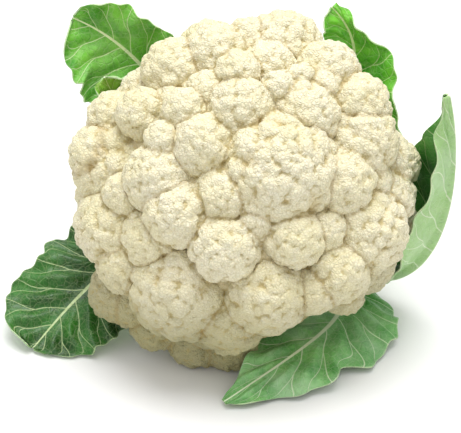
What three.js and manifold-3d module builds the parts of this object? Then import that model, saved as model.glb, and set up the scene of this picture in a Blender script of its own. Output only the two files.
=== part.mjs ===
// A whole cauliflower lying on its side. The curd looks forward and up, and its leaves spread from behind it.
// Lengths are millimetres, angles are degrees, +Z is up and the table is the plane z = 0.
import * as THREE from "three";
import { mergeVertices } from "three/addons/utils/BufferGeometryUtils.js";
import Module from "manifold-3d";

const wasm = await Module();
wasm.setup();
const { Manifold, Mesh } = wasm;

// Driving dimensions: the head about its own axis, how far that axis rises from the table, and the stem below it
const HEAD_RADIUS = 92;
const CROWN_RISE = 70;
const UNDER_DEPTH = 34;
const AXIS_RISE = 38;
const HEAD_CENTRE = new THREE.Vector3(11.5, -6.1, 80);
const STEM_RADIUS = 24;
const STEM_TOP = -48;
const STEM_END = -103;
const BLADE_THICKNESS = 1.2;
const GAP = 0.3;
const CURD_TOLERANCE = 1;

// Florets: how deep they sit in the crown, how closely they crowd, and the sizes the filling rule may use
const SEAT = 0.85;
const CROWDING = 0.8;
const FILL_LARGEST = 15;
const FILL_SMALLEST = 9;
const FILL_CANDIDATES = 900;
const FILL_POLAR_END = 108;
const KNOB_RELIEF = 0.07;
const SQUARENESS = 7;
const FINE_FLORET = 20;
const BRANCHES = 9;
const BRANCH_RELIEF = 0.1;

// The florets that give this head its face: x and y across the face, radius, and lift out of the crown
const LEAD_FLORETS = [
  [15.6, 6.2, 26, 3], [-3.1, 36.9, 14.5, 0], [29.1, 34.8, 15, 0], [57.7, 22.9, 17.5, 2],
  [-22.9, 18.2, 13.5, 0], [-45.2, 2.1, 15, 1], [-42.6, 20.8, 8.5, 0], [-32.2, 36.4, 9.5, 0],
  [-70.2, 13, 20, 0], [-77, 16.5, 14, 10], [-54.6, 36.4, 11, 0], [-35.9, -16.1, 14.5, 1],
  [-68.6, -20.8, 19, 0], [-12, -33.8, 14.5, 2], [23.4, -29.1, 12.5, 0], [9.9, -56.2, 18, 1],
  [-34.8, -52, 24, 0], [-28, -79, 13, -8], [-10, -80, 14, -9], [-48, -70, 13, -6],
  [-4.7, 55.6, 10, 0], [15.1, 47.3, 7.5, 0], [38.5, 49.4, 8.5, 0], [27, 53.6, 6, 0],
  [53.6, 47.8, 10, 0], [57, 41, 14, 8], [61.4, -23.4, 19, 2], [45.8, -44.2, 15, 0],
  [73, -5.2, 13, -6], [76.4, 12.4, 12, -4], [-16.6, 67.6, 14, 0], [-37.4, 59.8, 15, 0],
  [19.4, 73.9, 17, 8], [42, 58.6, 14, 7], [-69, -55, 13, -4], [33, -54, 11, -3],
  [-62, -40, 14, -2], [-58, -58, 14, -2], [-70, 36, 12, 0], [0, 76, 11, -2],
  [50, -56, 9, -8],
];

// Places on the face where the head is cut back and no floret is filled in: x, y and radius
const BARE_SPOTS = [[34, -76, 36], [80, 38, 18]];

// Leaf ribs and blades: the rib at its base, its share left at the tip, and how finely a blade is split
const RIB_HALF = 9;
const RIB_DEPTH = 8;
const RIB_TIP = 0.12;
const RIB_TAPER = 0.85;
const RIB_MARGIN = 1;
const LEAF_ROWS = 16;
const RIB_STATIONS = [0, 0.6, 1];
const BLADE_STATIONS = [1 / 3, 2 / 3, 1];

// Stalks left on the stem where other leaves were cut away: angle round the stem and height of the foot
const STUBS = [[98, -84], [26, -80], [240, -80], [275, -87]];
const STUB_REACH = 17;
const STUB_CLIMB = 13;
const STUB_ROWS = 3;
const BARE = { width: 0, rise: 1, fall: 1 };
const STUB_BLADE = {
  bladeStart: 0, cup: 12, curl: 20, right: BARE, left: BARE,
  waves: 0, waveHeight: 0, waveShift: 0, ribScale: 0.8, ribTip: 1,
};

// Leaves: angle and height where the midrib leaves the stem, its other three control points from below the
// head's centre, which way the upper face looks at base and tip, and the blade to the right and left of the rib
const LEAVES = {
  leaf_upper_left: {
    colour: 0x4f9a2e, root: [136, -68], path: [[-40, 68, 84], [-50, 62, 128], [-91, 56, 151]],
    faceBase: [0.3, -0.8, 0.5], faceTip: [0.2, -0.95, 0.3], bladeStart: 0.12, cup: 8, curl: 14,
    right: { width: 18, rise: 0.5, fall: 0.34 }, left: { width: 32, rise: 0.5, fall: 0.34 },
    waves: 5, waveHeight: 3, waveShift: 0.2,
  },
  leaf_young_left: {
    colour: 0x86ab35, root: [168, -54], path: [[-44, 48, 73], [-67, 43, 98], [-74, 35, 127]],
    faceBase: [0.3, -0.8, 0.5], faceTip: [0.3, -0.9, 0.4], bladeStart: 0.45, cup: 14, curl: 20,
    right: { width: 13, rise: 0.6, fall: 0.4 }, left: { width: 11, rise: 0.6, fall: 0.4 },
    waves: 6, waveHeight: 1, waveShift: 0.1, ribScale: 0.5,
  },
  leaf_upper_right: {
    colour: 0x4f9c22, root: [62, -68], path: [[50, 70, 80], [74, 62, 122], [45, 66, 152]],
    faceBase: [-0.2, -0.8, 0.5], faceTip: [-0.3, -0.9, 0.3], bladeStart: 0.05, cup: 6, curl: 20,
    right: { width: 37, rise: 0.6, fall: 1.6 }, left: { width: 11, rise: 0.9, fall: 0.3 },
    waves: 4, waveHeight: 4, waveShift: 0.6,
  },
  leaf_right: {
    colour: 0x9dbb93, root: [-10, -62], path: [[94, 2, -30], [115, -8, 74], [99, -12, 144]],
    faceBase: [-0.6, 0, 0.8], faceTip: [-1, 0, 0], bladeStart: 0.24, cup: 34, curl: 18,
    right: { width: 32, rise: 0.5, fall: 1.2 }, left: { width: 30, rise: 0.6, fall: 0.25 },
    waves: 4, waveHeight: 3, waveShift: 0.3, notch: { side: "left", at: 1, depth: 0.9, span: 0.18 },
  },
  leaf_lower_right: {
    colour: 0x3f7d35, root: [-50, -72], path: [[76, 24, -10], [58, -38, 30], [-12, -79, 3]],
    faceBase: [0, 0.2, 1], faceTip: [0.1, -0.3, 1], bladeStart: 0.27, cup: -4, curl: -10,
    right: { width: 32, rise: 0.6, fall: 1.5 }, left: { width: 29, rise: 0.8, fall: 0.9 },
    waves: 4, waveHeight: 3, waveShift: 0.4, notch: { side: "right", at: 0.81, depth: 0.35, span: 0.04 },
  },
  leaf_lower_left: {
    colour: 0x38742f, root: [203, -64], path: [[-55, 26, 36], [-82, -2, 28], [-113, -34, 2]],
    faceBase: [0, -0.3, 1], faceTip: [-0.2, -0.7, 0.7], bladeStart: 0.34, cup: 4, curl: -10,
    right: { width: 32, rise: 0.6, fall: 0.36 }, left: { width: 27, rise: 0.6, fall: 0.36 },
    waves: 4, waveHeight: 3, waveShift: 0.1, notch: { side: "right", at: 0.74, depth: 0.2, span: 0.05 },
  },
};

const CURD_COLOUR = 0xeee3c4;
const STEM_COLOUR = 0xc9d3a0;

const HEAD_TURN = THREE.MathUtils.degToRad(90 - AXIS_RISE);
const headMatrix = new THREE.Matrix4().makeRotationX(HEAD_TURN).setPosition(HEAD_CENTRE);

// A number from 0 to 1 that is always the same for the same two seeds
function draw(seed, other) {
  const value = Math.sin(seed * 12.9898 + other * 78.233) * 43758.5453;
  return value - Math.floor(value);
}

// Turning three.js geometry into solids and back
function solidOf(geometry) {
  const bare = geometry.clone();
  bare.deleteAttribute("normal");
  bare.deleteAttribute("uv");
  const merged = mergeVertices(bare, 1e-4);
  const vertProperties = Float32Array.from(merged.attributes.position.array);
  const triVerts = Uint32Array.from(merged.index.array);
  return new Manifold(new Mesh({ numProp: 3, vertProperties, triVerts }));
}

function geometryOf(shape) {
  const { vertProperties, triVerts } = shape.getMesh();
  const geometry = new THREE.BufferGeometry();
  geometry.setAttribute("position", new THREE.BufferAttribute(vertProperties, 3));
  geometry.setIndex(new THREE.BufferAttribute(triVerts, 1));
  geometry.computeVertexNormals();
  return geometry;
}

function largestPiece(shape) {
  return shape.decompose().reduce((best, piece) => (piece.volume() > best.volume() ? piece : best));
}

// Everything below the table, in table coordinates
function belowTable() {
  const slab = new THREE.BoxGeometry(800, 800, 200);
  slab.translate(0, 0, -100);
  return solidOf(slab);
}

// Profile points as [radius, height] turned about the head's axis
function turned(profile, sides) {
  const points = profile.map(([radius, height]) => new THREE.Vector2(radius, height));
  const geometry = new THREE.LatheGeometry(points, sides);
  geometry.rotateX(Math.PI / 2);
  return geometry;
}

// Where a floret of this radius sits on the crown above a place on the face
function seatFloret([x, y, radius, lift]) {
  const reach = HEAD_RADIUS - SEAT * radius;
  const height = CROWN_RISE - SEAT * radius;
  const share = Math.min(1, Math.hypot(x, y) / reach);
  const z = height * Math.sqrt(1 - share * share) + lift;
  return { centre: new THREE.Vector3(x, y, z), radius };
}

// Widest gap first: the largest floret that still fits on the shell is added, again and again
function fillGaps(florets) {
  const turn = Math.PI * (3 - Math.sqrt(5));
  const lowest = Math.cos(THREE.MathUtils.degToRad(FILL_POLAR_END));
  const inset = FILL_LARGEST - 1;
  const candidates = [];
  for (let i = 0; i < FILL_CANDIDATES; i += 1) {
    const up = 1 - ((1 - lowest) * (i + 0.5)) / FILL_CANDIDATES;
    const around = i * turn;
    const reach = HEAD_RADIUS - inset - SQUARENESS * Math.sin(2 * around) ** 2;
    const flat = Math.sqrt(1 - up * up) * reach;
    const tall = up > 0 ? CROWN_RISE - inset : UNDER_DEPTH - inset;
    const centre = new THREE.Vector3(flat * Math.cos(around), flat * Math.sin(around), up * tall);
    if (BARE_SPOTS.every(([x, y, radius]) => Math.hypot(centre.x - x, centre.y - y) > radius)) {
      candidates.push(centre);
    }
  }
  for (;;) {
    let best = null;
    for (const centre of candidates) {
      const room = florets.map((one) => one.centre.distanceTo(centre) / CROWDING - one.radius);
      const radius = Math.min(FILL_LARGEST, ...room);
      if (!best || radius > best.radius) {
        best = { centre, radius };
      }
    }
    if (best.radius < FILL_SMALLEST) {
      return florets;
    }
    florets.push(best);
  }
}

// One floret: a ball whose coarse corners stand out as knobs, turned by its own draw
function floretSolid({ centre, radius }, index) {
  const coarse = radius >= FINE_FLORET ? 1 : 0;
  const relief = coarse ? KNOB_RELIEF : KNOB_RELIEF / 3;
  const tops = new THREE.IcosahedronGeometry(1, coarse).attributes.position;
  const ball = new THREE.IcosahedronGeometry(1, coarse * 2 + 1);
  const place = ball.attributes.position;
  const corner = new THREE.Vector3();
  const top = new THREE.Vector3();
  for (let i = 0; i < place.count; i += 1) {
    corner.fromBufferAttribute(place, i);
    let onTop = false;
    for (let k = 0; k < tops.count; k += 1) {
      onTop = onTop || top.fromBufferAttribute(tops, k).distanceTo(corner) < 0.01;
    }
    const uneven = 0.5 * relief * draw(Math.round(corner.x * 40), Math.round(corner.y * 40) + index);
    const reach = onTop ? 1 + uneven : 1 - relief;
    place.setXYZ(i, corner.x * reach, corner.y * reach, corner.z * reach);
  }
  const spin = new THREE.Euler(draw(index, 1) * 6, draw(index, 2) * 6, draw(index, 3) * 6);
  ball.applyMatrix4(new THREE.Matrix4().makeRotationFromEuler(spin));
  ball.scale(radius, radius, radius);
  ball.translate(centre.x, centre.y, centre.z);
  return solidOf(ball);
}

// The core under the florets: a dome on a trunk, with the main branches standing out as ribs below
function coreSolid() {
  const core = turned([
    [0, STEM_TOP], [STEM_RADIUS + 1, STEM_TOP], [STEM_RADIUS + 6, STEM_TOP + 9], [50, -26],
    [66, -8], [70, 8], [62, 28], [44, 44], [22, 53], [0, 56],
  ], BRANCHES * 4);
  const place = core.attributes.position;
  for (let i = 0; i < place.count; i += 1) {
    const ribbed = place.getZ(i) < 0 && place.getZ(i) > STEM_TOP + 1 ? BRANCH_RELIEF : 0;
    const swell = 1 + ribbed * Math.cos(BRANCHES * Math.atan2(place.getY(i), place.getX(i)));
    place.setXY(i, place.getX(i) * swell, place.getY(i) * swell);
  }
  return solidOf(core);
}

// The curd: core and florets grown together, in the head's own frame
function curdSolid() {
  const florets = fillGaps(LEAD_FLORETS.map(seatFloret));
  const grown = Manifold.union([coreSolid(), ...florets.map(floretSolid)]);
  const table = belowTable().transform(headMatrix.clone().invert().elements);
  return largestPiece(grown.simplify(CURD_TOLERANCE).subtract(table));
}

// The stump below the curd, cut square
function stemProfile(clear) {
  return [
    [0, STEM_END - clear], [STEM_RADIUS - 3 + clear, STEM_END - clear],
    [STEM_RADIUS + clear, STEM_END + 3], [STEM_RADIUS + clear, STEM_TOP - 20],
    [STEM_RADIUS + 1 + clear, STEM_TOP - GAP + clear], [0, STEM_TOP - GAP + clear],
  ];
}

// A point round the head's axis, in table coordinates
function aroundAxis(angle, radius, height) {
  const turn = THREE.MathUtils.degToRad(angle);
  return new THREE.Vector3(radius * Math.cos(turn), radius * Math.sin(turn), height).applyMatrix4(headMatrix);
}

// A stalk cut short, square to the stem
function stubGeometry([angle, height]) {
  const foot = aroundAxis(angle, STEM_RADIUS - 3, height);
  const bend = aroundAxis(angle, STEM_RADIUS + 0.5 * STUB_REACH, height + 0.25 * STUB_CLIMB);
  const end = aroundAxis(angle, STEM_RADIUS + STUB_REACH, height + STUB_CLIMB);
  const up = aroundAxis(angle, 0, 1).sub(HEAD_CENTRE);
  const stub = { ...STUB_BLADE, face: [up, up] };
  return leafGeometry(stub, new THREE.QuadraticBezierCurve3(foot, bend, end), STUB_ROWS);
}

// The stem with its stubs, in the head's own frame
function stemSolid() {
  const stump = solidOf(turned(stemProfile(0), 20)).transform(headMatrix.elements);
  const grown = Manifold.union([stump, ...STUBS.map((stub) => solidOf(stubGeometry(stub)))]);
  const trimmed = largestPiece(grown.subtract(belowTable()).simplify(0.02));
  return trimmed.transform(headMatrix.clone().invert().elements);
}

// Half-width of one side of a leaf at a share of the way along its midrib
function halfWidth(leaf, side, along, rib) {
  const edge = leaf[side];
  const share = THREE.MathUtils.clamp((along - leaf.bladeStart) / (1 - leaf.bladeStart), 0, 1);
  const crest = edge.rise / (edge.rise + edge.fall);
  const peak = crest ** edge.rise * (1 - crest) ** edge.fall;
  let width = (edge.width * share ** edge.rise * (1 - share) ** edge.fall) / peak;
  if (leaf.notch && leaf.notch.side === side) {
    width *= 1 - leaf.notch.depth * Math.exp(-(((along - leaf.notch.at) / leaf.notch.span) ** 2));
  }
  return rib + RIB_MARGIN + width;
}

// Points of the upper and lower face, row by row along the midrib and station by station across
function leafRows(leaf, midrib, count) {
  const [base, tip] = leaf.face.map((direction) => direction.clone().normalize());
  const cup = THREE.MathUtils.degToRad(leaf.cup);
  const curl = THREE.MathUtils.degToRad(leaf.curl);
  const rows = [];
  for (let i = 0; i <= count; i += 1) {
    const along = i / count;
    const centre = midrib.getPoint(along);
    const forward = midrib.getTangent(along);
    const up = base.clone().lerp(tip, along).projectOnPlane(forward).normalize();
    const across = forward.clone().cross(up);
    const ribSize = (leaf.ribScale ?? 1) * THREE.MathUtils.lerp(1, leaf.ribTip ?? RIB_TIP, along ** RIB_TAPER);
    const rib = RIB_HALF * ribSize;
    const depth = RIB_DEPTH * ribSize;
    const row = [];
    for (const [side, sign] of [["left", -1], ["right", 1]]) {
      const width = halfWidth(leaf, side, along, rib);
      const stations = RIB_STATIONS.map((share) => share * rib);
      stations.push(...BLADE_STATIONS.map((share) => rib + share * (width - rib)));
      const half = stations.map((distance, k) => {
        const share = distance / width;
        const lean = cup + curl * share;
        const flat = (width * (Math.sin(lean) - Math.sin(cup))) / curl;
        const high = (width * (Math.cos(cup) - Math.cos(lean))) / curl;
        const facing = across.clone().multiplyScalar(-sign * Math.sin(lean));
        facing.addScaledVector(up, Math.cos(lean));
        const wave = Math.sin(2 * Math.PI * (leaf.waves * along + leaf.waveShift + 0.25 * sign));
        const point = centre.clone().addScaledVector(across, sign * flat).addScaledVector(up, high);
        const free = k < RIB_STATIONS.length ? 0 : share * share;
        point.addScaledVector(facing, leaf.waveHeight * wave * free);
        const thickness = BLADE_THICKNESS + depth * Math.max(0, 1 - (distance / rib) ** 2);
        return { point, under: point.clone().addScaledVector(facing, -thickness) };
      });
      row.push(...(sign < 0 ? half.reverse().slice(0, -1) : half));
    }
    rows.push(row);
  }
  return rows;
}

// The closed blade: upper skin, lower skin with the rib, and the narrow edge all round
function leafGeometry(leaf, midrib, length) {
  const rows = leafRows(leaf, midrib, length);
  const count = rows[0].length;
  const vertices = [];
  rows.forEach((row) => row.forEach(({ point }) => vertices.push(point.x, point.y, point.z)));
  rows.forEach((row) => row.forEach(({ under }) => vertices.push(under.x, under.y, under.z)));
  const lower = rows.length * count;
  const faces = [];
  const quad = (a, b, c, d) => faces.push(a, c, b, a, d, c);
  for (let i = 0; i < rows.length - 1; i += 1) {
    for (let k = 0; k < count - 1; k += 1) {
      const a = i * count + k;
      const b = a + count;
      quad(a, b, b + 1, a + 1);
      faces.push(lower + a, lower + b, lower + b + 1, lower + a, lower + b + 1, lower + a + 1);
    }
    const left = i * count;
    const right = left + count - 1;
    quad(left, lower + left, lower + left + count, left + count);
    quad(right, right + count, lower + right + count, lower + right);
  }
  const last = (rows.length - 1) * count;
  for (let k = 0; k < count - 1; k += 1) {
    quad(k, k + 1, lower + k + 1, lower + k);
    quad(last + k + 1, last + k, lower + last + k, lower + last + k + 1);
  }
  const geometry = new THREE.BufferGeometry();
  geometry.setAttribute("position", new THREE.Float32BufferAttribute(vertices, 3));
  geometry.setIndex(faces);
  return geometry;
}

function leafSolid(leaf, keepOut) {
  const [angle, height] = leaf.root;
  const under = new THREE.Vector3(HEAD_CENTRE.x, HEAD_CENTRE.y, 0);
  const path = leaf.path.map((place) => new THREE.Vector3(...place).add(under));
  const midrib = new THREE.CubicBezierCurve3(aroundAxis(angle, STEM_RADIUS - 1, height), ...path);
  const face = [new THREE.Vector3(...leaf.faceBase), new THREE.Vector3(...leaf.faceTip)];
  const blade = solidOf(leafGeometry({ ...leaf, face }, midrib, LEAF_ROWS));
  return largestPiece(blade.subtract(keepOut).simplify(0.02));
}

function piece(name, shape, colour, roughness) {
  const material = new THREE.MeshStandardMaterial({ color: colour, roughness, metalness: 0 });
  const mesh = new THREE.Mesh(geometryOf(shape), material);
  mesh.name = name;
  return mesh;
}

const curd = curdSolid();
const head = new THREE.Group();
head.position.copy(HEAD_CENTRE);
head.rotation.x = HEAD_TURN;
head.add(piece("curd", curd, CURD_COLOUR, 0.7));
head.add(piece("stem", stemSolid(), STEM_COLOUR, 0.55));

// Leaves keep clear of the table, of the stem and of a curd grown by the gap
const clearance = 1 + (2 * GAP) / HEAD_RADIUS;
const stemRoom = solidOf(turned(stemProfile(GAP), 20)).transform(headMatrix.elements);
const curdRoom = curd.scale(clearance).transform(headMatrix.elements);
const keepOut = Manifold.union([belowTable(), stemRoom, curdRoom]);
const leaves = new THREE.Group();
for (const [name, leaf] of Object.entries(LEAVES)) {
  leaves.add(piece(name, leafSolid(leaf, keepOut), leaf.colour, 0.5));
}

const cauliflower = new THREE.Group();
cauliflower.add(head, leaves);

export default cauliflower;
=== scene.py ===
# %% [markdown]
# A whole cauliflower lies on its side on a pale table. Its curd looks forward and up at the camera, and six
# leaves spread from behind it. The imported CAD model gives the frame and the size. Each CAD solid is then
# dressed with a finer piece that follows the same numbers: where a floret sits, how a midrib bends.

import math

import bpy
import numpy as np
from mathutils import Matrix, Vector


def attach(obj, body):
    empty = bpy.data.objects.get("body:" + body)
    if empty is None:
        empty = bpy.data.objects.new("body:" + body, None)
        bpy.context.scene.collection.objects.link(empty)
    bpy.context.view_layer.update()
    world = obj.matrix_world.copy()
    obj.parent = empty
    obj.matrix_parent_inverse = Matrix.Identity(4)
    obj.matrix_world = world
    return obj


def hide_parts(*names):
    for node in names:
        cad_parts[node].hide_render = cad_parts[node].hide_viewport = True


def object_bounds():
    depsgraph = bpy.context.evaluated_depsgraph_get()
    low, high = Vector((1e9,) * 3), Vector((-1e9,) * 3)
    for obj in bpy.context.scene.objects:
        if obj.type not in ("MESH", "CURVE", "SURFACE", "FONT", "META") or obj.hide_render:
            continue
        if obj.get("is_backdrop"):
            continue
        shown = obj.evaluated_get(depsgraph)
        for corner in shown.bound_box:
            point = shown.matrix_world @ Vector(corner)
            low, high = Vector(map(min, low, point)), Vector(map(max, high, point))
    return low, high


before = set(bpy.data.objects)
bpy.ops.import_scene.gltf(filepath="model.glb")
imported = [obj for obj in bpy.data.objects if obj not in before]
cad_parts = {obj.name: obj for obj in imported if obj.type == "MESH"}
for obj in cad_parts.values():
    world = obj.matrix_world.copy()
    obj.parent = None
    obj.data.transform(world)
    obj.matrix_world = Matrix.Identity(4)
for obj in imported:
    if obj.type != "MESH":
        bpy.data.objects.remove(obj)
cad_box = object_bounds()
print("CAD nodes:", sorted(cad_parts))

# %% [markdown]
# The head has an axis of its own, from the stem end to the middle of the curd. Everything on the plant is
# easier to place about that axis, so points are worked out in the head's frame in millimetres and turned
# into the table's frame in metres at the end. The axis rises 38 degrees from the table towards the viewer.

# %% The head's own frame
MM = 0.001
HEAD_CENTRE = np.array([11.5, -6.1, 80.0])
AXIS_RISE = 38.0
HEAD_RADIUS = 92.0
CROWN_RISE = 70.0
UNDER_DEPTH = 34.0
STEM_RADIUS = 24.0
STEM_TOP = -48.0
STEM_END = -103.0

turn = math.radians(90 - AXIS_RISE)
HEAD_TURN = np.array([
    [1, 0, 0],
    [0, math.cos(turn), -math.sin(turn)],
    [0, math.sin(turn), math.cos(turn)],
])


def on_table(points):
    """Points of the head's frame as points of the table's frame, both in millimetres."""
    return np.asarray(points, float) @ HEAD_TURN.T + HEAD_CENTRE


print("the axis points to", (HEAD_TURN @ [0, 0, 1]).round(3))

# %% [markdown]
# The photograph looks down on the head by about 34 degrees from a metre away through a long lens. The lens
# follows from the scale: 0.52 mm a pixel at the head's centre, on a picture 461 pixels wide. The head's
# centre isn't in the middle of the picture, so the camera is moved sideways and up and keeps its direction.

# %% Camera
PICTURE = (461, 433)
CENTRE_PIXEL = (247, 190)
SCALE = 0.52 * MM
VIEW_DISTANCE = 1.0
look_down = math.radians(34)

to_camera = Vector((0, -math.cos(look_down), math.sin(look_down)))
picture_up = Vector((0, math.sin(look_down), math.cos(look_down)))
aim = Vector(HEAD_CENTRE * MM)
aim += Vector((1, 0, 0)) * (PICTURE[0] / 2 - CENTRE_PIXEL[0]) * SCALE
aim -= picture_up * (PICTURE[1] / 2 - CENTRE_PIXEL[1]) * SCALE

bpy.ops.object.select_all(action="DESELECT")
bpy.ops.object.camera_add(location=aim + to_camera * VIEW_DISTANCE)
camera = bpy.context.object
camera.rotation_euler = to_camera.to_track_quat("Z", "Y").to_euler()
camera.data.sensor_width = 36
camera.data.lens = 36 * VIEW_DISTANCE / (PICTURE[0] * SCALE)
bpy.context.scene.camera = camera
print("lens", round(camera.data.lens, 1), "mm")

# %% [markdown]
# The picture is high-key: a white table, a white surround and soft light from above, with only a light grey
# shadow close to where the plant touches the table. A world that is bright overhead and dimmer towards the
# horizon shades the head from crown to underside, as a large tent of white cloth would, and one broad lamp
# above gives that shading a direction.

# %% Light and table
SHADE_START, SHADE_END = -0.1, 0.9
HORIZON_LIGHT, OVERHEAD_LIGHT = 0.24, 1.08
LAMP_PLACE = Vector((0.12, 0.2, 2.1))
LAMP_AIM = Vector((0, 0, 0.06))
LAMP_SIZE = 1.6
LAMP_WATTS = 36
TABLE_SIZE = 6
TABLE_DROP = 0.0004

world = bpy.data.worlds.new("white_tent")
bpy.context.scene.world = world
world.use_nodes = True
tent = world.node_tree
direction = tent.nodes.new("ShaderNodeTexCoord")
upward = tent.nodes.new("ShaderNodeSeparateXYZ")
shade = tent.nodes.new("ShaderNodeMapRange")
shade.interpolation_type = "SMOOTHSTEP"
for socket, value in enumerate((SHADE_START, SHADE_END, HORIZON_LIGHT, OVERHEAD_LIGHT), 1):
    shade.inputs[socket].default_value = value
tent.links.new(direction.outputs["Generated"], upward.inputs[0])
tent.links.new(upward.outputs["Z"], shade.inputs[0])
tent.links.new(shade.outputs[0], tent.nodes["Background"].inputs["Strength"])
tent.nodes["Background"].inputs["Color"].default_value = (1, 1, 1, 1)
bpy.context.scene.view_settings.view_transform = "Standard"
bpy.context.scene.view_settings.look = "None"

bpy.ops.object.select_all(action="DESELECT")
bpy.ops.object.light_add(type="AREA", location=LAMP_PLACE)
lamp = bpy.context.object
lamp.name = "lamp_above"
lamp.data.shape = "DISK"
lamp.data.size = LAMP_SIZE
lamp.data.energy = LAMP_WATTS
lamp.rotation_euler = (LAMP_PLACE - LAMP_AIM).to_track_quat("Z", "Y").to_euler()

bpy.ops.object.select_all(action="DESELECT")
bpy.ops.mesh.primitive_plane_add(size=TABLE_SIZE, location=(0, 0, -TABLE_DROP))
table = bpy.context.object
table.name = "table_top"
table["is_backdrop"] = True
print("tent of light and one lamp")

# %% [markdown]
# Materials are written as sums. A small class wraps one socket of a node tree, so that `1 - mask` adds a
# Math node, and one method makes any other node from its type, its settings and its sockets.

# %% Shader sums


class Wire:
    """One output socket of a node tree, with arithmetic."""

    def __init__(self, tree, socket):
        self.tree = tree
        self.socket = socket

    def make(self, kind, settings=None, sockets=None, output=0):
        """Any node from its type, its settings and its sockets, as a wire from one output."""
        node = self.tree.nodes.new(kind)
        for name, value in (settings or {}).items():
            setattr(node, name, value)
        for name, value in (sockets or {}).items():
            if isinstance(value, Wire):
                self.tree.links.new(value.socket, node.inputs[name])
            else:
                node.inputs[name].default_value = value
        return Wire(self.tree, node.outputs[output])

    def sum(self, operation, *values):
        """A Math node on these values."""
        return self.make("ShaderNodeMath", {"operation": operation}, dict(enumerate(values)))

    def __add__(self, other):
        return self.sum("ADD", self, other)

    def __sub__(self, other):
        return self.sum("SUBTRACT", self, other)

    def __rsub__(self, other):
        return self.sum("SUBTRACT", other, self)

    def __mul__(self, other):
        return self.sum("MULTIPLY", self, other)

    def __truediv__(self, other):
        return self.sum("DIVIDE", self, other)

    def __abs__(self):
        return self.sum("ABSOLUTE", self)

    def __round__(self):
        return self.sum("ROUND", self)

    __radd__ = __add__
    __rmul__ = __mul__

    def most(self, other):
        return self.sum("MAXIMUM", self, other)

    def fade(self, start, end):
        """0 at start and 1 at end, eased. Start may be the larger one."""
        settings = {"interpolation_type": "SMOOTHSTEP"}
        return self.make("ShaderNodeMapRange", settings, {0: self, 1: start, 2: end})

    def tint(self, under, over):
        """The colour under, with the colour over on it by this share."""
        return self.make("ShaderNodeMix", {"data_type": "RGBA"}, {0: self, 6: under, 7: over}, output=2)

    def noise(self, size, detail=3.0, rough=0.5):
        """Soft patches of this size in metres, about 0.5."""
        sockets = {"Vector": self, "Scale": 1 / size, "Detail": detail, "Roughness": rough}
        return self.make("ShaderNodeTexNoise", None, sockets)

    def cells(self, size):
        """Distance to the border between cells of this size in metres, as a share of it."""
        settings = {"feature": "DISTANCE_TO_EDGE"}
        return self.make("ShaderNodeTexVoronoi", settings, {"Vector": self, "Scale": 1 / size})

    def attribute(self, name):
        """A number that the mesh keeps on its vertices."""
        return self.make("ShaderNodeAttribute", {"attribute_name": name}, None, output=2)


def colour_of(code):
    """A colour as seen on a screen, such as 'eee3c4', as the linear colour that a shader takes."""
    shares = [int(code[i:i + 2], 16) / 255 for i in (0, 2, 4)]
    linear = [s / 12.92 if s <= 0.04045 else ((s + 0.055) / 1.055) ** 2.4 for s in shares]
    return (*linear, 1)


def new_finish(name):
    """A material, its place on the object as a wire, and its shader."""
    material = bpy.data.materials.new(name)
    material.use_nodes = True
    tree = material.node_tree
    shader = tree.nodes["Principled BSDF"]
    start = Wire(tree, tree.nodes.new("ShaderNodeTexCoord").outputs["Object"])
    return material, start, shader


def feed(shader, **wires):
    """Links wires to the shader's sockets; an underscore in a name stands for a space."""
    for name, wire in wires.items():
        wire.tree.links.new(wire.socket, shader.inputs[name.replace("_", " ")])


def bumped(height, depth, strength):
    """A Normal from a height that runs from 0 to 1 and stands for this depth in metres."""
    sockets = {"Strength": strength, "Distance": depth, "Height": height}
    return height.make("ShaderNodeBump", None, sockets)


def let_light_in(shader, weight, reach, depth):
    """Subsurface scattering: how much, how far red, green and blue go, and the depth in metres."""
    shader.inputs["Subsurface Weight"].default_value = weight
    shader.inputs["Subsurface Radius"].default_value = reach
    shader.inputs["Subsurface Scale"].default_value = depth


table_finish, spot, shader = new_finish("white_table")
grain = spot.noise(0.004, 4)
feed(shader, Base_Color=spot.noise(0.3).tint(colour_of("f0f0f0"), colour_of("f2f2f2")))
feed(shader, Roughness=grain * 0.1 + 0.55)
table.data.materials.append(table_finish)
print("table finish made")
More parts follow.
